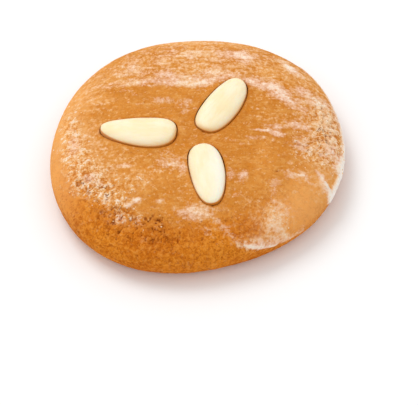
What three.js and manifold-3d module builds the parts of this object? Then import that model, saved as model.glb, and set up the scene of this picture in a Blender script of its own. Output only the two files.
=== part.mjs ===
// A round lebkuchen: one soft round of spiced dough with three blanched almond halves pressed into its top.
// Millimetres, +Z up. The origin is on the table, under the middle of the round.
import * as THREE from 'three';
import { mergeVertices } from 'three/addons/utils/BufferGeometryUtils.js';
import Module from 'manifold-3d';

// The dough round. Its outline is a circle with a few swells: each one stands out `lobes` times
// around the rim, and `towards` is the direction of its first crest, in degrees from +X.
const dough = {
  radius: 44.1,
  height: 17.5,
  widestHeight: 7,
  baseRadiusShare: 0.88,
  domeFullness: 3,
  shoulderRoundness: 2,
  underEdgeRoundness: 2,
  swells: [
    { lobes: 2, swell: 1.4, towards: 44 },
    { lobes: 3, swell: 0.6, towards: -7 },
    { lobes: 4, swell: 0.6, towards: -40 },
    { lobes: 5, swell: 0.2, towards: -28 },
  ],
  color: 0xd08a45,
};

// Low mounds and hollows in the baked top, each a soft bell about `at`.
const mounds = [
  { at: [-25, 15], spread: 13, rise: 0.5 },
  { at: [24, 20], spread: 12, rise: 0.45 },
  { at: [22, -20], spread: 12, rise: 0.5 },
  { at: [-20, -19], spread: 11, rise: 0.45 },
  { at: [2, 30], spread: 9, rise: -0.4 },
  { at: [-34, -3], spread: 8, rise: -0.45 },
  { at: [36, 2], spread: 8, rise: -0.4 },
  { at: [1, -3], spread: 9, rise: -0.35 },
];

// Coarse open pores on the bare front left shoulder, in a fan about `towards`: each is a round pit
// that goes `depthShare` of its radius deep.
const pores = {
  count: 20,
  towards: 236,
  fan: 32,
  nearShare: 0.74,
  farShare: 0.94,
  radius: [0.5, 0.9],
  depthShare: 0.85,
  seed: 1217,
};

// Almond halves, flat side down, round end inwards. `at` is the middle, `tip` the direction of the
// pointed end, `taper` how much wider the round end is, and `bend` the sideways bow of the middle.
const almonds = [
  { name: 'almond_left', at: [-16.9, -0.5], tip: 172.5, length: 22.8, width: 11, taper: 0.3, bend: 0.9 },
  { name: 'almond_back', at: [7.9, 9.1], tip: 60, length: 23.2, width: 11.2, taper: 0.08, bend: -0.35 },
  { name: 'almond_front', at: [3.2, -17.5], tip: -82, length: 21.5, width: 10.7, taper: 0.14, bend: 0.3 },
];
const almondBody = {
  thickness: 4.4,
  edgeDepth: 0.8,
  sunk: 1.9,
  endBluntness: 0.35,
  sideFullness: 2.5,
  color: 0xf6e3b8,
};
const clearance = 0.3;

const grid = { around: 96, base: 3, underEdge: 6, dome: 24, almondAround: 24, almondAlong: 18 };

const wasm = await Module();
wasm.setup();
const degrees = THREE.MathUtils.degToRad;

// Seeded numbers from 0 to 1.
function randomFrom(seed) {
  let state = seed;
  return () => {
    state = (state * 1664525 + 1013904223) % 4294967296;
    return state / 4294967296;
  };
}

function outlineRadius(angle) {
  let radius = dough.radius;
  for (const { lobes, swell, towards } of dough.swells) {
    radius += swell * Math.cos(lobes * (angle - degrees(towards)));
  }
  return radius;
}

function moundHeight(x, y) {
  let height = 0;
  for (const { at, spread, rise } of mounds) {
    const distance = Math.hypot(x - at[0], y - at[1]) / spread;
    height += rise * Math.exp(-distance * distance);
  }
  return height;
}

// Height of the bare dough over the table at a share of the way from the middle to the widest line.
function domeHeight(share) {
  const fall = (1 - share ** dough.domeFullness) ** (1 / dough.shoulderRoundness);
  return dough.widestHeight + (dough.height - dough.widestHeight) * fall;
}

function topHeight(x, y) {
  const share = Math.min(1, Math.hypot(x, y) / outlineRadius(Math.atan2(y, x)));
  return domeHeight(share) + moundHeight(x, y) * (1 - share ** 4);
}

function topNormal(x, y) {
  const step = 0.5;
  const slopeX = (topHeight(x + step, y) - topHeight(x - step, y)) / (2 * step);
  const slopeY = (topHeight(x, y + step) - topHeight(x, y - step)) / (2 * step);
  return new THREE.Vector3(-slopeX, -slopeY, 1).normalize();
}

// The section of the round from the middle of its base, round the edge, to the top of the dome:
// x is the share of the outline radius, y the height.
function doughProfile() {
  const points = [];
  const { baseRadiusShare, widestHeight, underEdgeRoundness } = dough;
  for (let i = 0; i < grid.base; i++) {
    points.push(new THREE.Vector2((baseRadiusShare * i) / grid.base, 0));
  }
  for (let i = 0; i < grid.underEdge; i++) {
    const turn = (Math.PI / 2) * (i / grid.underEdge);
    const out = Math.sin(turn) ** (2 / underEdgeRoundness);
    const up = 1 - Math.cos(turn) ** (2 / underEdgeRoundness);
    points.push(new THREE.Vector2(baseRadiusShare + (1 - baseRadiusShare) * out, widestHeight * up));
  }
  for (let i = 0; i <= grid.dome; i++) {
    const share = Math.sin((Math.PI / 2) * (1 - i / grid.dome)) ** (2 / dough.domeFullness);
    points.push(new THREE.Vector2(i === grid.dome ? 0 : share, domeHeight(share)));
  }
  return points;
}

function toManifold(geometry) {
  const bare = new THREE.BufferGeometry();
  bare.setAttribute('position', geometry.getAttribute('position').clone());
  bare.setIndex(geometry.getIndex().clone());
  const merged = mergeVertices(bare, 1e-3);
  const mesh = new wasm.Mesh({
    numProp: 3,
    vertProperties: merged.attributes.position.array,
    triVerts: new Uint32Array(merged.index.array),
  });
  return new wasm.Manifold(mesh);
}

function toGeometry(manifold) {
  const { vertProperties, triVerts } = manifold.getMesh();
  const geometry = new THREE.BufferGeometry();
  geometry.setAttribute('position', new THREE.BufferAttribute(vertProperties, 3));
  geometry.setIndex(new THREE.BufferAttribute(triVerts, 1));
  return geometry;
}

// The plain dough body: the section turned about the middle, then drawn out to the outline and mounds.
function doughBody() {
  const geometry = new THREE.LatheGeometry(doughProfile(), grid.around);
  geometry.rotateX(Math.PI / 2);
  const position = geometry.getAttribute('position');
  for (let i = 0; i < position.count; i++) {
    const share = Math.hypot(position.getX(i), position.getY(i));
    const angle = Math.atan2(position.getY(i), position.getX(i));
    const radius = share * outlineRadius(angle);
    const x = radius * Math.cos(angle);
    const y = radius * Math.sin(angle);
    const z = position.getZ(i);
    const onDome = z > dough.widestHeight ? 1 - share ** 4 : 0;
    position.setXYZ(i, x, y, z + moundHeight(x, y) * onDome);
  }
  return toManifold(geometry);
}

// A small rounded pit in the dough at one place of the top.
function porePit(x, y, radius) {
  const pit = new THREE.IcosahedronGeometry(radius, 1);
  pit.translate(x, y, topHeight(x, y) + radius * (1 - pores.depthShare));
  return toManifold(mergeVertices(stripped(pit), 1e-3));
}

function stripped(geometry) {
  geometry.deleteAttribute('normal');
  geometry.deleteAttribute('uv');
  return geometry;
}

function porePits() {
  const random = randomFrom(pores.seed);
  const pits = [];
  for (let i = 0; i < pores.count; i++) {
    const angle = degrees(pores.towards + (random() - 0.5) * 2 * pores.fan);
    const share = pores.nearShare + (pores.farShare - pores.nearShare) * random();
    const radius = pores.radius[0] + (pores.radius[1] - pores.radius[0]) * random();
    const reach = share * outlineRadius(angle);
    pits.push(porePit(reach * Math.cos(angle), reach * Math.sin(angle), radius));
  }
  return pits;
}

// An almond half about its own middle, tip along +X, its flat side at z = 0. A unit ball with its
// poles at the two ends is drawn out to the length, width and dome, and `grow` stands off it.
function almondGeometry({ length, width, taper, bend }, grow = 0) {
  const ball = stripped(new THREE.SphereGeometry(1, grid.almondAround, grid.almondAlong));
  ball.rotateZ(-Math.PI / 2);
  const position = ball.getAttribute('position');
  const { thickness, edgeDepth, endBluntness, sideFullness } = almondBody;
  for (let i = 0; i < position.count; i++) {
    const along = THREE.MathUtils.clamp(position.getX(i), -1, 1);
    const turn = Math.atan2(position.getZ(i), position.getY(i));
    const swell = (1 - along * along) ** endBluntness * (1 - taper * along);
    const side = Math.sign(Math.cos(turn)) * Math.abs(Math.cos(turn)) ** (2 / sideFullness);
    const rise = Math.sign(Math.sin(turn)) * Math.abs(Math.sin(turn)) ** (2 / sideFullness);
    const depth = rise > 0 ? thickness + grow : edgeDepth + grow;
    position.setXYZ(
      i,
      along * (length / 2 + grow),
      side * swell * (width / 2 + grow) + bend * (1 - along * along),
      rise * Math.sqrt(Math.min(1, swell)) * depth,
    );
  }
  return mergeVertices(ball, 1e-3);
}

// Where an almond sits: sunk in the dough, leaning with the dome.
function almondPlace({ at, tip }) {
  const normal = topNormal(...at);
  const along = new THREE.Vector3(Math.cos(degrees(tip)), Math.sin(degrees(tip)), 0);
  const across = new THREE.Vector3().crossVectors(normal, along).normalize();
  along.crossVectors(across, normal);
  const place = new THREE.Matrix4().makeBasis(along, across, normal);
  const middle = new THREE.Vector3(...at, topHeight(...at)).addScaledVector(normal, -almondBody.sunk);
  return place.setPosition(middle);
}

function doughMaterial() {
  return new THREE.MeshStandardMaterial({ color: dough.color, roughness: 0.8, metalness: 0 });
}

function almondMaterial() {
  return new THREE.MeshStandardMaterial({ color: almondBody.color, roughness: 0.5, metalness: 0 });
}

// The dough with a pocket for each almond, `clearance` wider than the almond all round.
function makeDough() {
  const pockets = almonds.map((almond) => {
    return toManifold(almondGeometry(almond, clearance).applyMatrix4(almondPlace(almond)));
  });
  let body = doughBody();
  for (const cut of [...pockets, ...porePits()]) body = body.subtract(cut);
  const mesh = new THREE.Mesh(toGeometry(body), doughMaterial());
  mesh.name = 'dough';
  return mesh;
}

function makeAlmond(almond) {
  const mesh = new THREE.Mesh(almondGeometry(almond), almondMaterial());
  mesh.name = almond.name;
  mesh.applyMatrix4(almondPlace(almond));
  return mesh;
}

// Everything moves together so that the outline's middle is over the origin.
function makeLebkuchen() {
  const lebkuchen = new THREE.Group();
  const round = makeDough();
  lebkuchen.add(round, ...almonds.map(makeAlmond));
  const middle = new THREE.Box3().setFromObject(round).getCenter(new THREE.Vector3());
  lebkuchen.position.set(-middle.x, -middle.y, 0);
  return lebkuchen;
}

export default makeLebkuchen();
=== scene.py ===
# A round lebkuchen with three blanched almond halves: baked relief, patchy sugar glaze and a pale studio.
import math

import bpy
import numpy as np
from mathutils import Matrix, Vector
from mathutils import noise as seededNoise


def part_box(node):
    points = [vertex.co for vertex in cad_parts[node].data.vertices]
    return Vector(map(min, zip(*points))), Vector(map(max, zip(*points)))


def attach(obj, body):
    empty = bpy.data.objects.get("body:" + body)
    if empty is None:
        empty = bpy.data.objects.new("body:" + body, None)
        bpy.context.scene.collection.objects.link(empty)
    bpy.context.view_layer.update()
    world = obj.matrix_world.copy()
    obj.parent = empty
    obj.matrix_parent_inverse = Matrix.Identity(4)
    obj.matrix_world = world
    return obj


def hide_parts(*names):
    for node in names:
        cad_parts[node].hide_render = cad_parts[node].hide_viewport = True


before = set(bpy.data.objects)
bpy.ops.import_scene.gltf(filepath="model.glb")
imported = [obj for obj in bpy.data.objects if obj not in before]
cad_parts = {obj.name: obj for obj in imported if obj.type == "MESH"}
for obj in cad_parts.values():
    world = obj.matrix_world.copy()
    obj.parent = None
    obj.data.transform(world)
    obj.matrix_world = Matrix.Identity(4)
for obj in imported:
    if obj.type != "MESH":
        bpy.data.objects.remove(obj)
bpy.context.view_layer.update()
mm = 0.001  # shapes are worked out in millimetres, and go into the meshes in metres
print("frame loaded:", ", ".join(sorted(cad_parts)))


# Small helpers for meshes and node trees

def newMesh(name, points, faces):
    mesh = bpy.data.meshes.new(name)
    mesh.from_pydata((np.asarray(points) * mm).tolist(), [], faces)
    mesh.shade_smooth()
    mesh.validate()
    return mesh


def newObject(name, mesh):
    made = bpy.data.objects.new(name, mesh)
    bpy.context.scene.collection.objects.link(made)
    return made


def pointsOf(mesh):
    flat = np.empty(len(mesh.vertices) * 3)
    mesh.vertices.foreach_get("co", flat)
    return flat.reshape(-1, 3) / mm


def paint(mesh, name, values):
    layer = mesh.attributes.get(name) or mesh.attributes.new(name, "FLOAT", "POINT")
    layer.data.foreach_set("value", np.asarray(values, np.float32))


def setInputs(tree, node, inputs):  # sockets are linked, and other values set
    for key, value in inputs.items():
        if isinstance(value, bpy.types.NodeSocket):
            tree.links.new(value, node.inputs[key])
        else:
            node.inputs[key].default_value = value


def addNode(tree, kind, inputs=None, **settings):
    made = tree.nodes.new(kind)
    for name, value in settings.items():
        setattr(made, name, value)
    setInputs(tree, made, inputs or {})
    return made


def calc(tree, operation, *values, clamp=False):
    inputs = dict(enumerate(values))
    return addNode(tree, "ShaderNodeMath", inputs, operation=operation, use_clamp=clamp).outputs[0]


def ramp(tree, value, low, high, toLow=0.0, toHigh=1.0):
    inputs = {0: value, 1: low, 2: high, 3: toLow, 4: toHigh}
    return addNode(tree, "ShaderNodeMapRange", inputs, interpolation_type="SMOOTHSTEP").outputs[0]


def scaleFor(tree, size):  # the texture scale that gives this size, which is a number or a socket
    return 1 / size if isinstance(size, float) else calc(tree, "DIVIDE", 1.0, size)


def noise(tree, place, size, detail=3.0, roughness=0.55, lean=0.0):
    inputs = {"Vector": place, "Detail": detail, "Roughness": roughness, "Distortion": lean}
    inputs["Scale"] = scaleFor(tree, size)
    return addNode(tree, "ShaderNodeTexNoise", inputs).outputs["Fac"]


def cells(tree, place, size):
    inputs = {"Vector": place, "Scale": scaleFor(tree, size)}
    return addNode(tree, "ShaderNodeTexVoronoi", inputs, feature="F1")


def vectorCalc(tree, operation, inputs):
    return addNode(tree, "ShaderNodeVectorMath", inputs, operation=operation).outputs[0]


def drawnOut(tree, place, stretch):
    return vectorCalc(tree, "MULTIPLY", {0: place, 1: stretch})


def newGeometryTree(name, sizes):
    tree = bpy.data.node_groups.new(name, "GeometryNodeTree")
    tree.interface.new_socket("Geometry", in_out="INPUT", socket_type="NodeSocketGeometry")
    for label, value in sizes.items():
        socket = tree.interface.new_socket(label, in_out="INPUT", socket_type="NodeSocketFloat")
        socket.default_value = value
    tree.interface.new_socket("Geometry", in_out="OUTPUT", socket_type="NodeSocketGeometry")
    return tree, tree.nodes.new("NodeGroupInput"), tree.nodes.new("NodeGroupOutput")


def attributeIn(tree, name, kind="FLOAT"):
    made = addNode(tree, "GeometryNodeInputNamedAttribute", {"Name": name}, data_type=kind)
    return made.outputs["Attribute"]


def runTree(target, tree, sizes):  # runs a geometry tree once and keeps the plain mesh it makes
    modifier = target.modifiers.new(tree.name, "NODES")
    modifier.node_group = tree
    for socket in tree.interface.items_tree:
        if socket.in_out == "INPUT" and socket.name in sizes:
            modifier[socket.identifier] = sizes[socket.name]
    keepMesh(target)


def keepMesh(target):
    graph = bpy.context.evaluated_depsgraph_get()
    shape = target.evaluated_get(graph)
    target.data = bpy.data.meshes.new_from_object(shape, preserve_all_data_layers=True, depsgraph=graph)
    target.modifiers.clear()


def fade(value, low, high):  # from 0 at low to 1 at high, smooth at both ends
    t = np.clip((value - low) / (high - low), 0, 1)
    return t * t * (3 - 2 * t)


# The form of the round, the same rule as the solid's

roundForm = {
    "radius": 44.1,
    "height": 17.5,
    "widestHeight": 7.0,
    "baseShare": 0.88,
    "domeFullness": 3.0,
    "shoulder": 2.0,
    "underEdge": 2.0,
    "swells": [(2, 1.4, 44), (3, 0.6, -7), (4, 0.6, -40), (5, 0.2, -28)],  # lobes, swell, first crest
    "mounds": [  # x, y, spread, rise
        (-25, 15, 13, 0.5), (24, 20, 12, 0.45), (22, -20, 12, 0.5), (-20, -19, 11, 0.45),
        (2, 30, 9, -0.4), (-34, -3, 8, -0.45), (36, 2, 8, -0.4), (1, -3, 9, -0.35),
    ],
    "gridAcross": 288,
    "baseRings": 6,
}


def rimRadius(angle):
    radius = roundForm["radius"]
    for lobes, swell, towards in roundForm["swells"]:
        radius = radius + swell * np.cos(lobes * (angle - math.radians(towards)))
    return radius


def moundHeight(x, y):
    return sum(rise * np.exp(-((x - mx) ** 2 + (y - my) ** 2) / spread**2)
               for mx, my, spread, rise in roundForm["mounds"])


def domeHeight(share):
    form = roundForm
    fall = (1 - share ** form["domeFullness"]) ** (1 / form["shoulder"])
    return form["widestHeight"] + (form["height"] - form["widestHeight"]) * fall


def shareOut(x, y):
    return np.minimum(1, np.hypot(x, y) / rimRadius(np.arctan2(y, x)))


def topHeight(x, y):
    share = shareOut(x, y)
    return domeHeight(share) + moundHeight(x, y) * (1 - share**4)


def topNormal(x, y, step=0.5):
    slopeX = (topHeight(x + step, y) - topHeight(x - step, y)) / (2 * step)
    slopeY = (topHeight(x, y + step) - topHeight(x, y - step)) / (2 * step)
    return Vector((-slopeX, -slopeY, 1)).normalized()


# The almond halves

# the last two numbers of each almond weigh its browning with painted shade along the lower edge, and a
# painted highlight on its right side
almondForms = {
    "almond_left": {
        "at": (-16.9, -0.5), "tip": 172.5, "length": 22.8, "width": 11.0, "taper": 0.3, "bend": 0.9,
        "browningAndShade": 1.0, "paintedHighlight": 0.0,
    },
    "almond_back": {
        "at": (7.9, 9.1), "tip": 60, "length": 23.2, "width": 11.2, "taper": 0.08, "bend": -0.35,
        "browningAndShade": 0.95, "paintedHighlight": 0.0,
    },
    "almond_front": {
        "at": (3.2, -17.5), "tip": -82, "length": 21.5, "width": 10.7, "taper": 0.14, "bend": 0.3,
        "browningAndShade": 0.25, "paintedHighlight": 1.0,
    },
}
almondBody = {
    "thickness": 4.4,
    "edgeDepth": 0.8,
    "sunk": 1.9,
    "endBluntness": 0.35,
    "sideFullness": 2.5,
    "grid": (112, 84),       # faces around and along
    "pocketGrid": (48, 36),
    "pocketGap": 0.24,
    "outlineSteps": 60,      # along the edge, where the dough measures its distance to it
    "surround": (18, 12),    # how far out that is measured, along and across
    "shadeTowards": -65,     # direction of each almond's shaded side
}


def almondPlace(form):
    at = form["at"]
    normal = topNormal(*at)
    tip = math.radians(form["tip"])
    across = normal.cross(Vector((math.cos(tip), math.sin(tip), 0))).normalized()
    along = across.cross(normal)
    middle = Vector((*at, float(topHeight(*at)))) - normal * almondBody["sunk"]
    return middle, along, across, normal


def almondPoints(form, grid, grow=0.0):  # rings from the round end to the tip, `grow` outside the skin
    body = almondBody
    around, steps = grid
    turn = np.arange(around) * 2 * math.pi / around
    along = -np.cos(np.linspace(0, math.pi, steps + 1))
    along, turn = np.meshgrid(along, turn, indexing="ij")
    swell = np.maximum(1 - along**2, 0) ** body["endBluntness"] * (1 - form["taper"] * along)
    side = np.sign(np.cos(turn)) * np.abs(np.cos(turn)) ** (2 / body["sideFullness"])
    rise = np.sign(np.sin(turn)) * np.abs(np.sin(turn)) ** (2 / body["sideFullness"])
    depth = np.where(rise > 0, body["thickness"], body["edgeDepth"]) + grow
    return np.stack([
        along * (form["length"] / 2 + grow),
        side * swell * (form["width"] / 2 + grow) + form["bend"] * (1 - along**2),
        rise * np.sqrt(np.minimum(1, swell)) * depth,
    ], -1)


def closedRings(rings):  # rings of points with one pole at each end, as a closed skin
    steps, around = rings.shape[0], rings.shape[1]
    inner = rings[1:-1].reshape(-1, 3)
    points = np.vstack([inner, rings[0, :1], rings[-1, :1]])
    first, last = len(inner), len(inner) + 1
    faces = []
    for i in range(steps - 3):
        for j in range(around):
            k = (j + 1) % around
            faces.append((i * around + j, i * around + k, (i + 1) * around + k, (i + 1) * around + j))
    end = (steps - 3) * around
    for j in range(around):
        k = (j + 1) % around
        faces.append((first, k, j))
        faces.append((last, end + j, end + k))
    return points, faces


def placed(points, form):
    middle, along, across, normal = (np.array(v) for v in almondPlace(form))
    return middle + points[:, :1] * along + points[:, 1:2] * across + points[:, 2:] * normal


# How far points of the dough, given along and across an almond, lie outside its edge, and in
# which direction from its spine.
def gapToAlmond(form, along, across):
    body = almondBody
    steps = np.linspace(-0.995, 0.995, body["outlineSteps"])
    swell = (1 - steps**2) ** body["endBluntness"] * (1 - form["taper"] * steps)
    rise = np.minimum(body["sunk"] / (body["thickness"] * np.sqrt(np.minimum(1, swell))), 1)
    half = swell * form["width"] / 2 * (1 - rise ** body["sideFullness"]) ** (1 / body["sideFullness"])
    ahead = along[:, None] - steps * form["length"] / 2
    aside = across[:, None] - form["bend"] * (1 - steps**2)
    gaps = np.hypot(ahead, np.maximum(np.abs(aside) - half, 0))
    nearest = gaps.argmin(1)[:, None]
    gap, ahead, aside = (np.take_along_axis(v, nearest, 1)[:, 0] for v in (gaps, ahead, aside))
    return gap, np.arctan2(aside, ahead)


# Distance outside the nearest almond's edge, measured along the dough, and how far the point
# lies on that almond's shaded side, from 0 to 1.
def awayFromAlmonds(x, y):
    nearest, shaded = np.full(x.shape, 99.0), np.zeros(x.shape)
    shade = math.radians(almondBody["shadeTowards"])
    alongReach, acrossReach = almondBody["surround"]
    for form in almondForms.values():
        tip = math.radians(form["tip"])
        dx, dy = x - form["at"][0], y - form["at"][1]
        along = dx * math.cos(tip) + dy * math.sin(tip)
        across = dy * math.cos(tip) - dx * math.sin(tip)
        close = (np.abs(along) < alongReach) & (np.abs(across) < acrossReach)
        gap, bearing = gapToAlmond(form, along[close], across[close])
        darker = fade(np.cos(bearing + tip - shade), 0, 0.8)
        shaded[close] = np.where(gap <= nearest[close], darker, shaded[close])
        nearest[close] = np.minimum(nearest[close], gap)
    return nearest, shaded


# The dough round

doughLook = {
    "lip": 0.28,          # dough pushed up round each almond
    "lipAt": 0.8,
    "lipReach": 1.3,
    "crease": 0.3,        # and drawn down against it
    "creaseReach": 0.38,
    "shadedCrease": 1.0,  # how much deeper and wider on an almond's shaded side
    "rimBand": 1,         # lips and pores stay this far above the widest line
}
openPores = {
    "count": 20,
    "towards": 236,
    "fan": 32,
    "near": 0.74,
    "far": 0.94,
    "radius": (0.5, 0.9),
    "seed": 1217,
    "narrowing": 1.2,     # how the ragged rim closes in on a pore
    "raggedness": 1.8,
    "raggedSize": 0.55,
    "steepness": 0.7,
    "depthShare": 0.9,
}


def seededNumbers(seed):
    state = seed
    while True:
        state = (state * 1664525 + 1013904223) % 4294967296
        yield state / 4294967296


def openPorePlaces():  # the same draws as the solid's pits
    drawn = seededNumbers(openPores["seed"])
    for _ in range(openPores["count"]):
        angle = math.radians(openPores["towards"] + (next(drawn) - 0.5) * 2 * openPores["fan"])
        share = openPores["near"] + (openPores["far"] - openPores["near"]) * next(drawn)
        low, high = openPores["radius"]
        radius = low + (high - low) * next(drawn)
        reach = share * float(rimRadius(angle))
        yield reach * math.cos(angle), reach * math.sin(angle), radius


def unevenness(x, y, size, seed):  # smooth seeded noise over the round, about -0.5 to 0.5
    values = [seededNoise.noise((u / size, v / size, seed)) for u, v in zip(x.ravel(), y.ravel())]
    return np.array(values).reshape(x.shape)


def porePits(x, y):  # depth of the coarse open pores, each with a ragged rim
    look = openPores
    depth = np.zeros(x.shape)
    for px, py, radius in openPorePlaces():
        far = np.hypot(x - px, y - py) / radius
        near = far < 2
        uneven = unevenness(x[near], y[near], look["raggedSize"], radius)
        ragged = far[near] * (look["narrowing"] + look["raggedness"] * uneven)
        bowl = np.clip(1 - ragged, 0, 1) ** look["steepness"]
        depth[near] = np.maximum(depth[near], look["depthShare"] * radius * bowl)
    return depth


# The section from the middle of the top, round the edge, to the rim of the base: shares of the
# rim radius, heights, the run down the section to each, and the run to the widest line.
def sectionCurve(samples=400):
    form = roundForm
    turn = np.linspace(0, math.pi / 2, samples)
    domeShare = np.sin(turn) ** (2 / form["domeFullness"])
    back = turn[::-1][1:]
    roundness = 2 / form["underEdge"]
    underShare = form["baseShare"] + (1 - form["baseShare"]) * np.sin(back) ** roundness
    underHeight = form["widestHeight"] * (1 - np.cos(back) ** roundness)
    share = np.concatenate([domeShare, underShare])
    height = np.concatenate([domeHeight(domeShare), underHeight])
    steps = np.hypot(np.diff(share) * form["radius"], np.diff(height))
    run = np.concatenate([[0], np.cumsum(steps)])
    return share, height, run, run[samples - 1]


sectionShares, sectionHeights, sectionRuns, domeRun = sectionCurve()


def onRound(run, angle):  # a point of the plain round: how far down its section, and in which direction
    share = np.interp(run, sectionRuns, sectionShares)
    height = np.interp(run, sectionRuns, sectionHeights)
    radius = share * rimRadius(angle)
    x, y = radius * np.cos(angle), radius * np.sin(angle)
    onDome = np.where(run < domeRun, 1 - share**4, 0)
    return np.stack([x, y, height + moundHeight(x, y) * onDome], -1)


def discGrid(across):  # a square grid drawn onto the disc, so that the faces stay even
    line = np.linspace(-1, 1, across + 1)
    a, b = np.meshgrid(line, line, indexing="ij")
    wide = np.abs(a) > np.abs(b)
    reach = np.where(wide, a, b)
    safe = np.where(reach == 0, 1, reach)
    turn = np.where(wide, math.pi / 4 * b / safe, math.pi / 2 - math.pi / 4 * a / safe)
    return np.abs(reach), np.arctan2(reach * np.sin(turn), reach * np.cos(turn))


def pressTop(points):  # lips and creases round the almonds, and the coarse pores
    look = doughLook
    x, y = points[:, 0], points[:, 1]
    onTop = points[:, 2] > roundForm["widestHeight"] + look["rimBand"]
    away, shaded = awayFromAlmonds(x, y)
    wider = 1 + look["shadedCrease"] * shaded
    lift = look["lip"] * np.exp(-((away - look["lipAt"]) / look["lipReach"]) ** 2)
    lift -= look["crease"] * wider * np.exp(-(away / look["creaseReach"] / wider) ** 2)
    points[:, 2] += lift * onTop
    points[:, 2] -= porePits(x, y) * onTop


def doughMesh():
    across, baseRings = roundForm["gridAcross"], roundForm["baseRings"]
    reach, angle = discGrid(across)
    points = onRound(reach * sectionRuns[-1], angle).reshape(-1, 3)
    pressTop(points)
    index = np.arange((across + 1) ** 2).reshape(across + 1, across + 1)
    quads = np.stack([index[:-1, :-1], index[1:, :-1], index[1:, 1:], index[:-1, 1:]], -1)
    faces = quads.reshape(-1, 4).tolist()
    edge = np.concatenate([index[:-1, 0], index[-1, :-1], index[:0:-1, -1], index[0, :0:-1]])
    ring, rim = edge, points[edge]
    for k in range(1, baseRings):  # the flat base, ring by ring to its middle
        shrink = 1 - k / baseRings
        nextRing = np.arange(len(edge)) + len(points)
        points = np.vstack([points, rim * (shrink, shrink, 0)])
        faces += np.stack([ring, nextRing, np.roll(nextRing, -1), np.roll(ring, -1)], -1).tolist()
        ring = nextRing
    points = np.vstack([points, [[0, 0, 0]]])
    middle = len(points) - 1
    faces += [(int(p), middle, int(q)) for p, q in zip(ring, np.roll(ring, -1))]
    return points, faces


doughPoints, doughFaces = doughMesh()
outlineMiddle = (doughPoints.min(0) + doughPoints.max(0)) / 2
boxLow, boxHigh = (np.array(corner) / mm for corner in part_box("dough"))
shift = ((boxLow + boxHigh) / 2 - outlineMiddle) * (1, 1, 0)  # from the round's own middle to the solid's
print("dough grid:", len(doughPoints), "points")

dough = newObject("dough_round", newMesh("dough_round", doughPoints + shift, doughFaces))


def cutPockets(target):
    points, faces = np.empty((0, 3)), []
    for form in almondForms.values():
        skin = almondPoints(form, almondBody["pocketGrid"], almondBody["pocketGap"])
        more, moreFaces = closedRings(skin)
        faces += [tuple(i + len(points) for i in face) for face in moreFaces]
        points = np.vstack([points, placed(more, form) + shift])
    cutter = newObject("pockets", newMesh("pockets", points, faces))
    cut = target.modifiers.new("pockets", "BOOLEAN")
    cut.operation, cut.solver, cut.object = "DIFFERENCE", "MANIFOLD", cutter
    keepMesh(target)
    bpy.data.objects.remove(cutter)


cutPockets(dough)
print("pockets cut:", len(dough.data.polygons), "faces")


# Where the glaze lies: x, y, half length, half width, turn in degrees, strength

glazePatches = [
    # the band behind the almonds
    (-1.2, 18.1, 4.5, 2.2, 0, 0.8), (-9, 18.8, 9, 2.2, 0, 0.5), (-19, 18.8, 9, 1.8, 0, 0.4),
    # back and right edge
    (0, 30, 26, 8, 0, 0.3), (39, 11, 3, 5, 0, 0.5), (40, 3, 2.5, 5, 0, 0.58),
    (39.4, -5, 2.5, 4, 0, 0.52), (34, 8, 4, 6, 0, 0.3), (32, -3, 4, 5, 0, 0.25),
    (6.5, 19.5, 5, 2, 20, 0.55), (4.8, 23, 5, 1.6, 15, 0.6), (-7.3, 22.4, 5, 1.3, 0, 0.55),
    (-19.5, 25.5, 4, 3, 0, 0.45), (14.1, 31.3, 5, 2.5, -20, 0.65), (-0.6, 32.8, 6, 2, 0, 0.45),
    (29.1, 27.5, 5, 1.4, -48, 0.95), (22.9, 16.9, 4.5, 1.8, -10, 0.85), (26.4, 13.1, 5, 1.8, -35, 0.8),
    (16.9, 19, 3, 1.5, 0, 0.6), (20, 20.5, 5, 1.2, -5, 0.4), (33.2, 16.4, 2.6, 2, -20, 0.9),
    (37.4, 13.9, 2, 2.5, 0, 0.7),
    # right side
    (19.2, -0.8, 3.2, 0.5, -3, 0.85), (23.9, -1.9, 2.4, 1.0, -15, 0.75), (24, 0.8, 3, 1.1, 0, 0.6),
    (31.5, -5.6, 1.8, 2.2, 0, 0.55), (17.8, -3.9, 3, 0.9, 0, 0.65), (30.5, 2.5, 3.4, 1.3, -5, 0.65),
    (30.5, -16.6, 4.2, 1.7, -4, 0.6), (22.6, -20.7, 3, 1.2, 80, 0.4), (9.8, -18, 2.2, 1.4, 80, 0.5),
    (13.9, -18, 2, 1.2, 60, 0.6), (12.1, -24.2, 1.5, 1.2, 0, 0.4), (24.2, -28, 2.6, 3.4, 0, 0.5),
    (22.6, -32.6, 2.6, 2.2, 0, 0.5),
    # front and middle
    (2.8, -36.5, 2.2, 1, -10, 0.35), (0.3, -30.4, 5, 2.3, 5, 0.7), (-7.5, -13.2, 3.3, 2.8, 0, 0.65),
    (-3.8, -16, 2.5, 0.9, 80, 0.5), (-9.6, 11.5, 3, 1.5, -10, 0.5), (-3.6, 10.1, 2.2, 1.4, 0, 0.42),
    (-3, 6.5, 2.5, 1.2, 90, 0.35),
    # left side
    (-28.2, 11, 2.5, 0.6, 0, 0.65), (-21.7, 15.6, 4, 0.7, 0, 0.5), (-22.2, -14, 3.5, 0.8, 0, 0.5),
    (-31, -16.5, 2.4, 2, -30, 0.55), (-35.6, -5, 1.8, 4, 10, 0.5), (-37, 2.5, 1.3, 4, 10, 0.4),
    (-26.5, -20.5, 2.5, 1.5, -20, 0.4), (-16.9, -26.3, 1.3, 0.8, 0, 0.95),
    (-19.6, -27.3, 1.0, 0.8, 0, 0.7), (-10.4, -26.5, 1.2, 0.9, 0, 0.5), (-26, -25, 1.3, 0.9, 0, 0.55),
    (-21.6, -31.8, 1.3, 1.2, 0, 0.55), (-16.6, -33.1, 1.3, 1, 0, 0.4),
]
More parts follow.
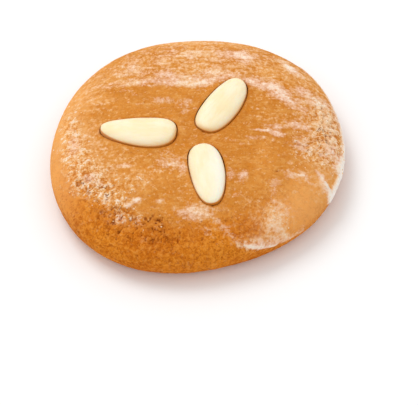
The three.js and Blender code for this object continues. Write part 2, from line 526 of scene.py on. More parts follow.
glazeFilm = [  # thin haze over larger stretches
    (0, 29, 28, 10, 0, 0.52), (24, 4, 7, 5, 0, 0.34), (-30, 15, 11, 12, 0, 0.5),
    (25, 20, 13, 10, 0, 0.4), (38, 0, 6, 18, 0, 0.5), (-33, -6, 11, 16, 0, 0.5),
    (-18, -17, 12, 7, 0, 0.38), (20, -30, 9, 6, 0, 0.35), (35, -16, 6, 8, 0, 0.3),
    (0, 41, 26, 3.5, 0, 0.5), (10, -20, 12, 7, 0, 0.15), (21.5, -32.5, 6, 5, 30, 0.4),
    (18, -36.3, 6, 1.8, 18, 0.6), (34, 25, 4, 7, 45, 0.35),
]
paintedLightPatches = [  # painted light: paler, smoother dough on the rims, where bounce and rim light fall
    (30, -27, 11, 6, 45, 0.75), (37, -14, 6, 10, 10, 0.3), (-40, -6, 6, 22, 0, 0.7),
    (-36, 18, 6, 12, -30, 0.4), (0, 42, 30, 5, 0, 0.4),
]
bareSpots = [  # where the glaze has run off
    (-9, 14.2, 15, 2.2, -4, 0.9), (-24, 8, 10, 3.5, 0, 0.6), (3, 1, 7, 5, 0, 0.8),
    (10, -8, 9, 4, 0, 0.5), (-43, -4, 4, 20, 3, 0.85),
]
crumblySpots = [  # broken, crumbly crust
    (-33.5, -16.5, 4, 3, -40, 0.7), (-26, -23, 6, 3.5, -35, 0.9), (-22.5, -30, 3.5, 2.5, 0, 0.8),
    (-25.5, -32.5, 5, 2.4, -30, 0.8), (-13, -33.5, 6, 3.5, 5, 0.95), (-9, -38, 5, 2.4, 0, 0.7),
    (-18, -36, 6, 2.6, -10, 0.85), (33, -6, 5, 3, 0, 0.6), (38.5, 4, 3, 8, 0, 0.9),
]
sugarGrains = [  # granular, crumbly sugar
    (-37, 3.5, 3, 8, 10, 0.72), (-35, -8, 4, 8, 20, 0.9), (-31, -16.5, 5.5, 5, -40, 0.9),
    (-26, -21.5, 6, 3.5, -30, 0.66), (-17, -20, 5.5, 3.5, 0, 0.4), (-21.5, -29.5, 6, 4, -20, 0.5),
    (-13, -33.5, 6, 3, 0, 0.12), (39, 8, 4, 6, 5, 0.9), (39.5, 0, 4, 6, 0, 0.95),
    (38.8, -7, 4, 5, -8, 0.8), (31.5, -7, 4, 5, 0, 0.5), (23, -29, 4, 4, 0, 0.35),
]
glazeStrokes = [  # thick glaze along the rim: angle, distance down from the middle, half width
    {"inward": 1.2, "strength": 1.0, "marks": [
        (12, 46.7, 0.15), (5, 46.9, 0.35), (-1, 47.0, 0.7), (-6, 47.1, 1.2), (-11, 46.9, 1.8),
        (-15, 46.8, 1.5), (-19, 46.7, 0.9), (-22.5, 46.6, 1.1), (-25, 46.8, 1.4), (-27.4, 47.2, 0.8),
    ]},
    {"inward": 1.2, "strength": 0.45, "marks": [
        (-21.0, 38.2, 0.4), (-22.6, 40.5, 0.9), (-24.0, 42.4, 1.3), (-25.1, 44.2, 1.6),
        (-26.0, 46.0, 1.6),
    ]},
    {"inward": 1.2, "strength": 0.9, "marks": [
        (-23.6, 42.4, 0.3), (-24.8, 44.4, 0.9), (-25.8, 46.0, 1.3),
    ]},
    {"inward": 1.8, "strength": 0.62, "marks": [
        (-70.5, 44.3, 0.3), (-68.5, 45.1, 0.5), (-65.0, 46.2, 0.8), (-61.5, 47.1, 0.65),
        (-57.0, 48.0, 0.35),
    ]},
    {"inward": 2.5, "strength": 0.33, "marks": [
        (-70, 43.8, 0.5), (-64, 45.8, 0.9), (-57, 47.4, 0.9), (-50, 48.4, 0.6), (-44, 48.8, 0.4),
    ]},
    {"inward": 1.0, "strength": 0.25, "marks": [
        (-79.6, 34.7, 1.1), (-76.2, 39.1, 1.4), (-74.3, 42.0, 1.4), (-70, 44.6, 1.2),
    ]},
    {"inward": 1.5, "strength": 0.5, "marks": [
        (44, 45.8, 0.5), (30, 46.2, 0.6), (14, 46.4, 0.7), (6, 46.6, 0.5),
    ]},
]


paintLook = {
    "falloff": 0.7,         # how fast spots and strokes fade from their middles
    "spotEdge": 2.4,
    "strokeRagged": 0.6,
    "raggedSize": 2.4,
    "raggedSeed": 4.0,
    "strokeClear": 3,       # thick glaze keeps this far from the almonds
    "wallDepth": 0.9,       # skin deeper than this under the top is a pocket's wall
    "wallReach": 0.8,
    "sugarFade": 2,         # sugar fades out this far either side of the widest line
    "shadedSideTowards": 257,    # middle of the bare flank, where its darker crust also stands in for painted shade, on the side turned from the light
    "flankShare": 0.15,     # how much of its colour the rest of the edge has
    "lowShare": 0.75,       # and the lowest part all round
    "hollowDepth": 0.8,
    "topPores": 0.03,
    "flankPores": 0.3,
    "contactShadeReach": 0.5,       # painted shade: a dark line along each almond's foot
    "shadedReach": 0.8,     # how much wider it is on the shaded side
    "contactShadeShare": 0.45,      # and how strong it is on the other
}


def strokeStrength(angle, run):  # strongest along the middle of a stroke, fading to its edge
    look, radius = paintLook, roundForm["radius"]
    around = angle * radius
    uneven = 1 + look["strokeRagged"] * unevenness(around, run, look["raggedSize"], look["raggedSeed"])
    full = np.zeros(angle.shape)
    for stroke in glazeStrokes:
        for (a0, r0, w0), (a1, r1, w1) in zip(stroke["marks"], stroke["marks"][1:]):
            x0, x1 = math.radians(a0) * radius, math.radians(a1) * radius
            dx, dy = x1 - x0, r1 - r0
            t = np.clip(((around - x0) * dx + (run - r0) * dy) / (dx * dx + dy * dy), 0, 1)
            side, down = around - x0 - t * dx, run - r0 - t * dy
            down = np.where(down < 0, down / stroke["inward"], down)
            away = np.hypot(side, down) / ((w0 + (w1 - w0) * t) * uneven)
            full = np.maximum(full, stroke["strength"] * np.exp(-look["falloff"] * away**2))
    return full


def runOf(share, z):  # how far down the section a point of the round lies
    top = sectionRuns <= domeRun
    onTop = np.interp(share, sectionShares[top], sectionRuns[top])
    below = np.interp(z, sectionHeights[~top][::-1], sectionRuns[~top][::-1])
    return np.where(z > roundForm["widestHeight"], onTop, below)


def spread(x, y, spots):  # soft ellipses laid over one another
    bare = np.ones(x.shape)
    for sx, sy, length, width, turn, strength in spots:
        c, s = math.cos(math.radians(turn)), math.sin(math.radians(turn))
        dx, dy = x - sx, y - sy
        far = np.hypot((dx * c + dy * s) / length, (dy * c - dx * s) / width)
        bare *= 1 - strength * np.exp(-(far ** paintLook["spotEdge"]) * paintLook["falloff"])
    return 1 - bare


def paintDough(mesh):
    look, widest = paintLook, roundForm["widestHeight"]
    x, y, z = (pointsOf(mesh) - shift).T
    angle = np.arctan2(y, x)
    share = shareOut(x, y)
    away, shaded = awayFromAlmonds(x, y)
    wall = (z < topHeight(x, y) - look["wallDepth"]) & (z > widest) & (away < look["wallReach"])
    upper = fade(z, widest - look["sugarFade"], widest + look["sugarFade"]) * ~wall
    sugared = (1 - spread(x, y, bareSpots)) * upper
    # painted shade: the flank's darker crust is strongest on the side turned from the light
    towardsShadedSide = fade(np.cos(angle - math.radians(look["shadedSideTowards"])), 0.1, 0.9)
    flank = fade(share, 0.62, 0.98) * (look["flankShare"] + (1 - look["flankShare"]) * towardsShadedSide)
    flank = np.maximum(flank, look["lowShare"] * (1 - fade(z, 2, 7)))
    contactShadeReach = look["contactShadeReach"] * (1 + look["shadedReach"] * shaded)
    contactShadeShare = look["contactShadeShare"] + (1 - look["contactShadeShare"]) * shaded
    layers = {
        "open": fade(z, 0.25, 1.8) * fade(away, 0.05, 0.5) * ~wall,  # where relief may move the skin
        "film": spread(x, y, glazeFilm) * sugared,
        "glaze": spread(x, y, glazePatches) * sugared,
        "thick": strokeStrength(angle, runOf(share, z)) * (away > look["strokeClear"]),
        "wall": wall,
        # painted light on the rims
        "pale": spread(x, y, paintedLightPatches) * fade(z, 4, 9),
        "grains": spread(x, y, sugarGrains) * upper,
        # painted shade in the coarse pores, darker where they are deeper
        "hollow": np.clip(porePits(x, y) / look["hollowDepth"], 0, 1) * upper,
        "flank": flank,
        "pores": look["topPores"] + look["flankPores"] * flank * towardsShadedSide,
        "crumbly": spread(x, y, crumblySpots) * upper,
        # painted shade along each almond's foot, wider and stronger on its shaded side
        "contactShade": np.exp(-((away / contactShadeReach) ** 2)) * upper * contactShadeShare,
        "under": 1 - fade(z, 0.4, 4.5),
    }
    for name, values in layers.items():
        paint(mesh, name, values)


paintDough(dough.data)


# Baked relief, by geometry nodes

reliefSizes = {
    "Lump Height": 0.22 * mm,
    "Lump Size": 14 * mm,
    "Ripple Height": 0.09 * mm,
    "Ripple Size": 3.0 * mm,
    "Grain Height": 0.06 * mm,
    "Grain Size": 1.1 * mm,
    "Sugar Height": 0.4 * mm,
    "Crumb Size": 1.4 * mm,
    "Glaze Height": 0.14 * mm,
    "Thick Glaze Height": 0.55 * mm,
    "Streak Size": 1.7 * mm,
    "Pore Depth": 0.4 * mm,
    "Pore Spacing": 1.7 * mm,
    "Crack Depth": 0.45 * mm,
    "Crack Size": 1.5 * mm,
}


def swing(tree, value, height):  # from 0..1 to -height..height
    return calc(tree, "MULTIPLY", calc(tree, "MULTIPLY_ADD", value, 2.0, -1.0), height)


def stored(tree, geometry, name, value):
    inputs = {"Geometry": geometry, "Name": name, "Value": value}
    kept = addNode(tree, "GeometryNodeStoreNamedAttribute", inputs, data_type="FLOAT", domain="POINT")
    return kept.outputs[0]


def finishTree(tree, end, geometry, material):
    whole = addNode(tree, "GeometryNodeRealizeInstances", {0: geometry})
    inputs = {"Geometry": whole.outputs[0], "Material": material}
    finished = addNode(tree, "GeometryNodeSetMaterial", inputs)
    tree.links.new(finished.outputs[0], end.inputs[0])
    return tree


def pushedOut(tree, geometry, height):
    normal = addNode(tree, "GeometryNodeInputNormal").outputs[0]
    offset = vectorCalc(tree, "SCALE", {0: normal, "Scale": height})
    return addNode(tree, "GeometryNodeSetPosition", {"Geometry": geometry, "Offset": offset}).outputs[0]


glazeHold = {  # glaze shows where its painted strength, less what is lost, beats streaks and mottling
    "patches": {"painted": 1.3, "lost": -0.42, "streaks": 1.7, "mottle": 1.3},
    "film": {"painted": 1.3, "lost": -0.52, "streaks": 0.8, "mottle": 1.6},
    "thick": 2.2,
    "thickSmoothing": -0.7,
}


def brokenUp(tree, streaks, mottle, weights):
    mottled = calc(tree, "MULTIPLY", mottle, weights["mottle"])
    return calc(tree, "MULTIPLY_ADD", streaks, weights["streaks"], mottled)


def glazeFields(tree, place, size):  # how surely glaze and haze lie, and the glaze's height
    patches, film = glazeHold["patches"], glazeHold["film"]
    drawn = drawnOut(tree, place, (0.4, 1, 0.45))
    streaks = calc(tree, "SUBTRACT", noise(tree, drawn, size["Streak Size"], 3.0, 0.6), 0.5)
    mottle = calc(tree, "SUBTRACT", noise(tree, place, size["Grain Size"], 2.0, 0.5), 0.5)
    thick = attributeIn(tree, "thick")
    smoother = calc(tree, "MULTIPLY_ADD", thick, glazeHold["thickSmoothing"], 1.0)
    broken = calc(tree, "MULTIPLY", brokenUp(tree, streaks, mottle, patches), smoother)
    glazed = calc(tree, "MULTIPLY_ADD", attributeIn(tree, "glaze"), patches["painted"], patches["lost"])
    glazed = calc(tree, "ADD", calc(tree, "MULTIPLY_ADD", thick, glazeHold["thick"], glazed), broken)
    filmed = calc(tree, "MULTIPLY_ADD", attributeIn(tree, "film"), film["painted"], film["lost"])
    filmed = calc(tree, "ADD", brokenUp(tree, streaks, mottle, film), filmed)
    height = calc(tree, "MULTIPLY", ramp(tree, glazed, 0.0, 0.8), size["Glaze Height"])
    ridge = calc(tree, "MULTIPLY", ramp(tree, thick, 0.05, 1.1), size["Thick Glaze Height"])
    return glazed, filmed, calc(tree, "ADD", height, ridge)


def sugarCrumbs(tree, place, size, fine):  # the clumps of granular sugar, and their height
    clumps = noise(tree, place, size["Crumb Size"], 2.0, 0.6, 0.3)
    clumps = calc(tree, "MULTIPLY_ADD", clumps, 0.8, calc(tree, "MULTIPLY", fine, 0.2))
    rugged = calc(tree, "MULTIPLY", calc(tree, "SUBTRACT", clumps, 0.5), attributeIn(tree, "grains"))
    return rugged, calc(tree, "MULTIPLY", calc(tree, "MULTIPLY", rugged, 3.0), size["Sugar Height"])


def wavering(tree, place):  # the place moved a little, so that round pores become uneven
    drift = addNode(tree, "ShaderNodeTexNoise", {"Vector": place, "Scale": 900.0}).outputs["Color"]
    drift = vectorCalc(tree, "SCALE", {0: drift, "Scale": 0.8 * mm})
    return vectorCalc(tree, "ADD", {0: place, 1: drift})


def finePores(tree, place, size):  # small pores of uneven outline, and their depth
    hollows = cells(tree, wavering(tree, place), size["Pore Spacing"])
    lottery = addNode(tree, "FunctionNodeSeparateColor", {0: hollows.outputs["Color"]})
    chosen = calc(tree, "LESS_THAN", lottery.outputs[0], attributeIn(tree, "pores"))
    radius = calc(tree, "MULTIPLY_ADD", lottery.outputs[1], 0.22, 0.1)
    far = calc(tree, "DIVIDE", hollows.outputs["Distance"], radius)
    bowl = calc(tree, "POWER", calc(tree, "SUBTRACT", 1.0, far, clamp=True), 0.7)
    bowl = calc(tree, "MULTIPLY", bowl, chosen)
    deeper = calc(tree, "MULTIPLY_ADD", lottery.outputs[1], 1.2, 0.3)
    return bowl, calc(tree, "MULTIPLY", calc(tree, "MULTIPLY", bowl, size["Pore Depth"]), deeper)


def reliefTree():
    tree, start, end = newGeometryTree("bakedRelief", reliefSizes)
    size = start.outputs
    place = addNode(tree, "GeometryNodeInputPosition").outputs[0]
    lumps = swing(tree, noise(tree, place, size["Lump Size"], 1.0), size["Lump Height"])
    ripples = swing(tree, noise(tree, place, size["Ripple Size"], 2.0), size["Ripple Height"])
    fine = noise(tree, place, size["Grain Size"], 3.0, 0.6)
    rugged, crumbs = sugarCrumbs(tree, place, size, fine)
    glazed, filmed, glaze = glazeFields(tree, place, size)
    height = lumps
    for more in (ripples, swing(tree, fine, size["Grain Height"]), crumbs, glaze):
        height = calc(tree, "ADD", height, more)

    cracks = ramp(tree, noise(tree, place, size["Crack Size"], 4.0, 0.7, 0.8), 0.47, 0.38)
    cracks = calc(tree, "MULTIPLY", cracks, attributeIn(tree, "crumbly"))
    bowl, pit = finePores(tree, place, size)
    unglazed = ramp(tree, glazed, 0.6, 0.2)
    pit = calc(tree, "MULTIPLY_ADD", cracks, size["Crack Depth"], calc(tree, "MULTIPLY", pit, unglazed))
    bowl = calc(tree, "MULTIPLY", bowl, unglazed)
    mayMove = attributeIn(tree, "open")
    height = calc(tree, "MULTIPLY", calc(tree, "SUBTRACT", height, pit), mayMove)
    # painted shade: pores and cracks kept as darkness for the colour, the deeper the darker
    paintedPitShade = calc(tree, "MULTIPLY", calc(tree, "MAXIMUM", bowl, cracks), mayMove)
    paintedPitShade = calc(tree, "MAXIMUM", paintedPitShade, calc(tree, "MULTIPLY", attributeIn(tree, "hollow"), 0.5))

    geometry = size["Geometry"]
    for name, value in {"pit": paintedPitShade, "rugged": rugged, "glazed": glazed, "filmed": filmed}.items():
        geometry = stored(tree, geometry, name, value)
    return finishTree(tree, end, pushedOut(tree, geometry, height), doughMaterial)


# Materials

doughColors = {
    "crumb": (0.60, 0.216, 0.030, 1),
    "crumbPale": (0.69, 0.270, 0.049, 1),
    "crumbLight": (0.78, 0.30, 0.045, 1),
    "crust": (0.70, 0.222, 0.015, 1),
    "crustDark": (0.58, 0.152, 0.007, 1),
    # painted light on the rims
    "paintedBounceLight": (0.95, 0.46, 0.150, 1),
    "speckDark": (0.40, 0.090, 0.006, 1),
    "speckPale": (0.80, 0.42, 0.130, 1),
    "gap": (0.50, 0.130, 0.015, 1),
    # painted shade in pores, pits and cracks
    "pore": (0.28, 0.058, 0.004, 1),
    # painted shade round the almonds and on their pocket walls
    "contactShade": (0.47, 0.150, 0.012, 1),
    "glazeThin": (0.84, 0.46, 0.190, 1),
    "glazePink": (0.88, 0.57, 0.41, 1),
    "glazeCream": (0.89, 0.61, 0.38, 1),
    "glazeWhite": (0.94, 0.79, 0.64, 1),
    "glazeThick": (0.97, 0.93, 0.86, 1),
    "sugar": (0.91, 0.65, 0.36, 1),
}


def mixColors(tree, factor, first, second):
    return addNode(tree, "ShaderNodeMix", {0: factor, 6: first, 7: second}, data_type="RGBA").outputs[2]


# Lays a share of a colour on the base where a pattern comes near to high
def dab(tree, base, pattern, low, high, share, color):
    factor = calc(tree, "MULTIPLY", ramp(tree, pattern, low, high), share)
    return mixColors(tree, factor, base, color)


def newMaterial(name):
    material = bpy.data.materials.new(name)
    material.use_nodes = True
    return material, material.node_tree, material.node_tree.nodes["Principled BSDF"]


def layer(tree, name, output="Fac"):
    return addNode(tree, "ShaderNodeAttribute", attribute_name=name).outputs[output]


patternSizes = {
    "broad": 11 * mm,
    "patches": 2.8 * mm,
    "holes": 1.2 * mm,
    "grain": 1.1 * mm,
    "crumbs": 1.0 * mm,
    "lines": 0.9 * mm,
    "speck": 0.6 * mm,
}


def doughPatterns(tree):
    size = patternSizes
    place = addNode(tree, "ShaderNodeTexCoord").outputs["Object"]
    drawn = drawnOut(tree, place, (0.25, 1, 0.6))
    grain = noise(tree, place, size["grain"], 3.0, 0.65)
    speck = noise(tree, place, size["speck"], 2.0, 0.6)
    coarse = calc(tree, "ADD", calc(tree, "MULTIPLY", grain, 0.6), calc(tree, "MULTIPLY", speck, 0.4))
    return {
        "place": place,
        "broad": noise(tree, place, size["broad"], 3.0),
        "patches": noise(tree, place, size["patches"], 3.0, 0.6),
        "crumbs": noise(tree, place, size["crumbs"], 4.0, 0.75, 0.6),
        "lines": noise(tree, drawn, size["lines"], 3.0, 0.6, 0.4),
        "speck": speck,
        "coarse": coarse,
        "flank": layer(tree, "flank"),
        "pale": layer(tree, "pale"),
    }


def bakedCrumb(tree, pattern):  # light crumb on top and darker crust on the flank, both speckled; the crust is strongest on the side turned from the light, as painted shade
    color, flank, pale = doughColors, pattern["flank"], pattern["pale"]

    def shared(top, change):  # a share on the top, and how it changes towards the flank
        return calc(tree, "MULTIPLY_ADD", flank, change, top)

    broad = ramp(tree, pattern["broad"], 0.35, 0.65)
    crumb = mixColors(tree, broad, color["crumb"], color["crumbPale"])
    crust = mixColors(tree, broad, color["crustDark"], color["crust"])
    base = mixColors(tree, ramp(tree, flank, 0.1, 0.9), crumb, crust)
    base = dab(tree, base, pattern["patches"], 0.5, 0.68, shared(0.3, -0.25), color["speckPale"])
    base = dab(tree, base, pattern["patches"], 0.46, 0.3, 0.35, color["crust"])
    # painted light: the rims mixed paler, and less speckled there
    base = mixColors(tree, calc(tree, "MULTIPLY", pale, 0.85), base, color["paintedBounceLight"])
    darker = calc(tree, "MULTIPLY", shared(0.3, 0.42), calc(tree, "MULTIPLY_ADD", pale, -0.85, 1.0))
    base = dab(tree, base, pattern["crumbs"], 0.53, 0.38, darker, color["speckDark"])
    base = dab(tree, base, pattern["crumbs"], 0.5, 0.62, shared(0.0, 0.6), color["crumbLight"])
    base = dab(tree, base, pattern["coarse"], 0.52, 0.66, shared(0.55, -0.35), color["speckPale"])
    return dab(tree, base, pattern["lines"], 0.54, 0.72, shared(0.4, -0.38), color["speckPale"])


def granularSugar(tree, pattern, base):
    color, grains = doughColors, layer(tree, "grains")
    finer = calc(tree, "SUBTRACT", pattern["speck"], 0.5)
    finer = calc(tree, "MULTIPLY", finer, calc(tree, "MULTIPLY", grains, 0.5))
    rugged = calc(tree, "ADD", layer(tree, "rugged"), finer)
    base = dab(tree, base, rugged, -0.04, 0.06, ramp(tree, grains, 0.1, 0.7, 0.0, 0.55), color["sugar"])
    base = dab(tree, base, rugged, 0.02, 0.10, 0.9, color["glazeWhite"])
    base = dab(tree, base, rugged, -0.03, -0.10, 0.6, color["gap"])
    between = calc(tree, "MULTIPLY", grains, 0.35)
    return dab(tree, base, pattern["crumbs"], 0.44, 0.34, between, color["gap"])


def glazeCoat(tree, pattern, base):  # also gives how surely the glaze lies, and how well it covers
    color = doughColors
    fleck = calc(tree, "SUBTRACT", pattern["speck"], 0.5)
    fleck = calc(tree, "MULTIPLY_ADD", calc(tree, "SUBTRACT", pattern["lines"], 0.5), 0.5, fleck)
    painted = calc(tree, "ADD", layer(tree, "glaze"), layer(tree, "thick"))
    bare = calc(tree, "MULTIPLY", pattern["flank"], 0.85)  # no stray flecks on the flank or underneath
    bare = calc(tree, "MULTIPLY", bare, ramp(tree, painted, 0.15, 0.0))
    openTop = calc(tree, "SUBTRACT", calc(tree, "SUBTRACT", 1.0, bare), layer(tree, "under"), clamp=True)
    filmed = calc(tree, "ADD", fleck, layer(tree, "filmed"))
    film = calc(tree, "MULTIPLY", ramp(tree, filmed, -0.2, 0.55, 0.0, 0.75), openTop)
    haze = mixColors(tree, ramp(tree, filmed, 0.2, 0.7), color["glazeThin"], color["glazeCream"])
    base = mixColors(tree, film, base, haze)
    glazed = calc(tree, "MULTIPLY_ADD", fleck, 1.3, layer(tree, "glazed"))
    broad = ramp(tree, pattern["broad"], 0.4, 0.6)
    tint = mixColors(tree, broad, color["glazePink"], color["glazeCream"])
    tint = mixColors(tree, ramp(tree, glazed, 0.4, 1.0), tint, color["glazeWhite"])
    tint = mixColors(tree, ramp(tree, glazed, 1.0, 1.6), tint, color["glazeThick"])
    cover = calc(tree, "MULTIPLY", ramp(tree, glazed, -0.3, 0.75, 0.0, 0.88), openTop)
    return mixColors(tree, cover, base, tint), glazed, cover


def poresAndContactShade(tree, pattern, base, glazed):  # also gives the small holes, for the bump
    color = doughColors
    holes = cells(tree, pattern["place"], patternSizes["holes"])
    draw = addNode(tree, "ShaderNodeSeparateColor", {0: holes.outputs["Color"]}).outputs[0]
    chosen = calc(tree, "LESS_THAN", draw, calc(tree, "MULTIPLY_ADD", pattern["flank"], 0.4, 0.02))
    hole = calc(tree, "MULTIPLY", ramp(tree, holes.outputs["Distance"], 0.3, 0.12), chosen)
    covered = calc(tree, "MAXIMUM", glazed, pattern["pale"])
    hole = calc(tree, "MULTIPLY", hole, ramp(tree, covered, 0.4, 0.0))
    # painted shade: small holes, pores and cracks mixed towards the dark pore colour
    base = mixColors(tree, calc(tree, "MULTIPLY", hole, 0.35), base, color["pore"])
    base = dab(tree, base, layer(tree, "pit"), 0.05, 0.9, 0.85, color["pore"])
    # painted shade: a dark line round each almond, and its pocket walls painted dark
    contactShade = calc(tree, "MAXIMUM", calc(tree, "MULTIPLY", layer(tree, "contactShade"), 0.9), layer(tree, "wall"))
    return mixColors(tree, contactShade, base, color["contactShade"]), hole


def makeDoughMaterial():
    material, tree, shader = newMaterial("bakedDough")
    pattern = doughPatterns(tree)
    base = granularSugar(tree, pattern, bakedCrumb(tree, pattern))
    base, glazed, cover = glazeCoat(tree, pattern, base)
    base, hole = poresAndContactShade(tree, pattern, base, glazed)
    height = calc(tree, "ADD", pattern["coarse"], pattern["crumbs"])
    height = calc(tree, "SUBTRACT", height, calc(tree, "MULTIPLY", hole, 0.35))
    bump = addNode(tree, "ShaderNodeBump", {"Strength": 0.7, "Distance": 0.0003, "Height": height})
    setInputs(tree, shader, {
        "Base Color": base,
        "Roughness": ramp(tree, cover, 0.0, 1.0, 0.8, 0.55),
        "Normal": bump.outputs[0],
        "Specular IOR Level": 0.03,
        "Subsurface Weight": 0.05,
        "Subsurface Radius": (0.0015, 0.0008, 0.0004),
    })
    return material


nutColors = {
    "flesh": (0.92, 0.77, 0.47, 1),
    "pale": (0.95, 0.84, 0.61, 1),
    # painted highlight on an almond's lit side
    "white": (0.97, 0.93, 0.78, 1),
    # browning, with painted shade, along an almond's lower edge
    "edge": (0.86, 0.54, 0.20, 1),
    "vein": (0.88, 0.68, 0.36, 1),
    # painted shade along an almond's foot
    "footShadeTone": (0.62, 0.215, 0.024, 1),
}


def makeAlmondMaterial():
    material, tree, shader = newMaterial("blanchedAlmond")
    color, nut = nutColors, layer(tree, "nut", "Vector")
    broad = noise(tree, drawnOut(tree, nut, (0.5, 1, 1)), 3.5 * mm, 2.0)
    fibres = noise(tree, drawnOut(tree, nut, (0.16, 1, 1)), 0.8 * mm, 3.0, 0.6)
    base = mixColors(tree, ramp(tree, broad, 0.3, 0.7), color["flesh"], color["pale"])
    base = dab(tree, base, fibres, 0.5, 0.7, 0.35, color["pale"])
    base = dab(tree, base, fibres, 0.48, 0.3, 0.3, color["vein"])
    # browning and painted shade along the lower edge
    base = dab(tree, base, layer(tree, "edge"), 0.05, 1.0, 0.85, color["edge"])
    # painted highlight on the lit side
    base = mixColors(tree, layer(tree, "paintedHighlight"), base, color["white"])
    # painted shade along the foot
    base = mixColors(tree, layer(tree, "footShade"), base, color["footShadeTone"])
    bump = addNode(tree, "ShaderNodeBump", {"Strength": 0.25, "Distance": 0.0001, "Height": fibres})
    setInputs(tree, shader, {
        "Base Color": base,
        "Roughness": 0.42,
        "Normal": bump.outputs[0],
        "Specular IOR Level": 0.2,
        "Subsurface Weight": 0.2,
        "Subsurface Radius": (0.0030, 0.0018, 0.0009),
    })
    return material


def makeGrainMaterial():
    material, tree, shader = newMaterial("sugarGrain")
    place = addNode(tree, "ShaderNodeTexCoord").outputs["Object"]
    tone = noise(tree, place, 1.4 * mm, 2.0)
    base = mixColors(tree, ramp(tree, tone, 0.4, 0.62), doughColors["speckPale"], doughColors["sugar"])
    setInputs(tree, shader, {
        "Base Color": mixColors(tree, ramp(tree, tone, 0.57, 0.72), base, doughColors["glazeWhite"]),
        "Roughness": 0.6,
        "Subsurface Weight": 0.1,
        "Subsurface Radius": (0.0006, 0.0004, 0.0003),
    })
    return material


doughMaterial = makeDoughMaterial()
almondMaterial = makeAlmondMaterial()
grainMaterial = makeGrainMaterial()

runTree(dough, reliefTree(), reliefSizes)
dough.data.shade_smooth()
dough.data.set_sharp_from_angle(angle=math.radians(60))
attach(dough, "root")
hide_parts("dough")
print("dough baked:", len(dough.data.polygons), "faces")


# Almond skins

skinSizes = {
    "Fibre Height": 0.05 * mm,
    "Fibre Width": 0.8 * mm,
    "Dent Height": 0.16 * mm,
    "Dent Size": 6 * mm,
}


def skinTree():
    tree, start, end = newGeometryTree("almondSkin", skinSizes)
    size = start.outputs
    nut = attributeIn(tree, "nut", "FLOAT_VECTOR")
    dents = noise(tree, drawnOut(tree, nut, (0.6, 1, 1)), size["Dent Size"], 1.0)
    fibres = noise(tree, drawnOut(tree, nut, (0.12, 1, 1)), size["Fibre Width"], 2.0)
    fibres = swing(tree, fibres, size["Fibre Height"])
    height = calc(tree, "ADD", swing(tree, dents, size["Dent Height"]), fibres)
    return finishTree(tree, end, pushedOut(tree, size["Geometry"], height), almondMaterial)


def paintAlmond(mesh, form, points):  # the points lie about the almond's own middle, its tip along +X
    tip = math.radians(form["tip"])
    bearing = np.arctan2(points[:, 1], points[:, 0] * form["width"] / form["length"]) + tip
    shaded = fade(np.cos(bearing - math.radians(almondBody["shadeTowards"])), -0.1, 0.9)
    low = 1 - points[:, 2] / almondBody["thickness"]
    ends = np.abs(points[:, 0]) / (form["length"] / 2)
    rightward = (placed(points, form)[:, 0] - form["at"][0]) / (form["width"] / 2)
    # partly browning at the ends and lower edge, partly painted shade, stronger on the almond's shaded
    # side
    browningAndShade = fade(low, 0.15, 0.7) * (0.2 + 0.8 * shaded) + fade(ends, 0.85, 1.0) * 0.35
    # painted highlight: the right side above the dough whitened, as where light catches it
    paintedHighlight = fade(rightward, -0.3, 0.9) * (1 - fade(low, 0.35, 0.55))
    paint(mesh, "edge", form["browningAndShade"] * browningAndShade)
    # painted shade: a brown band along the almond's foot, just above the dough
    paint(mesh, "footShade", fade(low, 0.48, 0.60) * (0.85 + 0.15 * shaded))
    paint(mesh, "paintedHighlight", form["paintedHighlight"] * paintedHighlight)


def makeAlmonds():
    tree = skinTree()
    for number, (name, form) in enumerate(almondForms.items()):
        points, faces = closedRings(almondPoints(form, almondBody["grid"]))
        half = newObject(name + "_half", newMesh(name + "_half", placed(points, form) + shift, faces))
        nut = half.data.attributes.new("nut", "FLOAT_VECTOR", "POINT")
        apart = (40 * number, 0, 0)  # so that no two almonds have the same grain
        nut.data.foreach_set("vector", ((points + apart) * mm).astype(np.float32).ravel())
        paintAlmond(half.data, form, points)
        runTree(half, tree, skinSizes)
        half.data.shade_smooth()
        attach(half, "root")
        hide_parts(name)


makeAlmonds()
print("almonds set")


# Loose sugar grains, scattered by geometry nodes

crumbSizes = {"Grains Per Area": 3.0e6, "Smallest": 0.10 * mm, "Largest": 0.26 * mm}
crumbSeeds = {"places": 11, "sizes": 5, "turns": 3}


def crumbTree():
    tree, start, end = newGeometryTree("sugarGrains", crumbSizes)
    size = start.outputs
    rugged = ramp(tree, attributeIn(tree, "rugged"), 0.0, 0.08)
    points = addNode(tree, "GeometryNodeDistributePointsOnFaces", {
        "Mesh": size["Geometry"],
        "Density": calc(tree, "MULTIPLY", rugged, size["Grains Per Area"]),
        "Seed": crumbSeeds["places"],
    }, distribute_method="RANDOM")
    grain = addNode(tree, "GeometryNodeMeshIcoSphere", {"Radius": 1.0, "Subdivisions": 1})
    sizes = {0: size["Smallest"], 1: size["Largest"], "Seed": crumbSeeds["sizes"]}
    turns = {1: (6.28, 6.28, 6.28), "Seed": crumbSeeds["turns"]}
    copies = addNode(tree, "GeometryNodeInstanceOnPoints", {
        "Points": points.outputs["Points"],
        "Instance": grain.outputs["Mesh"],
        "Scale": addNode(tree, "FunctionNodeRandomValue", sizes, data_type="FLOAT_VECTOR").outputs[0],
        "Rotation": addNode(tree, "FunctionNodeRandomValue", turns, data_type="FLOAT_VECTOR").outputs[0],
    })
    return finishTree(tree, end, copies.outputs[0], grainMaterial)


def makeCrumbs():
    crumbs = newObject("sugar_grains", dough.data.copy())
    runTree(crumbs, crumbTree(), crumbSizes)
    crumbs.data.shade_smooth()
    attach(crumbs, "root")
    print("sugar grains:", len(crumbs.data.polygons), "faces")


makeCrumbs()


# Studio: pale floor, soft light, camera

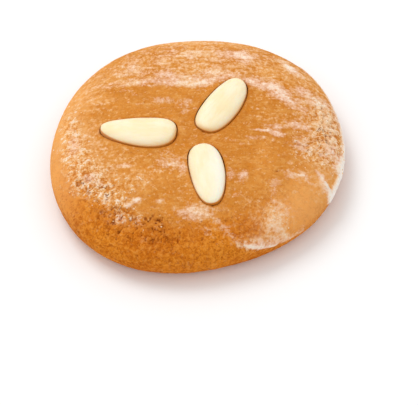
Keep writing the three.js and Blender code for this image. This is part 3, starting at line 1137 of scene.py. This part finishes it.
studio = {
    "cameraDistance": 0.6,
    "cameraElevation": 50,
    "aim": (0.00355, -0.0143, 0),
    "sensorWidth": 36,
    "pixelsAcross": 418,
    "pixelsPerMm": 3.3056,
    "world": 0.86,
    "keyPlace": (-0.35, 0.35, 0.8),
    "keySide": 0.5,
    "keyWatts": 3.0,
    "floor": (0.95, 0.95, 0.95, 1),
    "floorReach": 1500,
    "floorDrop": 0.02,  # just under the base, so that the two faces don't coincide
}


def makeCamera():
    elevation = math.radians(studio["cameraElevation"])
    cameraData = bpy.data.cameras.new("camera")
    camera = newObject("camera", cameraData)
    camera.location = Vector((0, -math.cos(elevation), math.sin(elevation))) * studio["cameraDistance"]
    gaze = Vector(studio["aim"]) - camera.location
    camera.rotation_euler = gaze.to_track_quat("-Z", "Y").to_euler()
    frameWidth = studio["pixelsAcross"] / studio["pixelsPerMm"] * mm
    cameraData.sensor_width = studio["sensorWidth"]
    cameraData.lens = cameraData.sensor_width * studio["cameraDistance"] / frameWidth
    bpy.context.scene.camera = camera


def makeFloor():
    material, tree, shader = newMaterial("paleFloor")
    setInputs(tree, shader, {"Base Color": studio["floor"], "Roughness": 0.9})
    reach, below = studio["floorReach"], -studio["floorDrop"]
    corners = [(x * reach, y * reach, below) for x, y in ((-1, -1), (1, -1), (1, 1), (-1, 1))]
    floor = newObject("floor", newMesh("floor", corners, [(0, 1, 2, 3)]))
    floor.data.materials.append(material)


def makeLight():
    world = bpy.data.worlds.new("studio")
    bpy.context.scene.world = world
    world.use_nodes = True
    background = world.node_tree.nodes["Background"]
    setInputs(world.node_tree, background, {"Color": (1, 1, 1, 1), "Strength": studio["world"]})
    data = bpy.data.lights.new("key", "AREA")
    data.size, data.energy = studio["keySide"], studio["keyWatts"]
    light = newObject("key", data)
    light.location = studio["keyPlace"]
    light.rotation_euler = (-Vector(studio["keyPlace"])).to_track_quat("-Z", "Y").to_euler()
    bpy.context.scene.view_settings.view_transform = "Standard"


makeCamera()
makeFloor()
makeLight()
print("studio set")
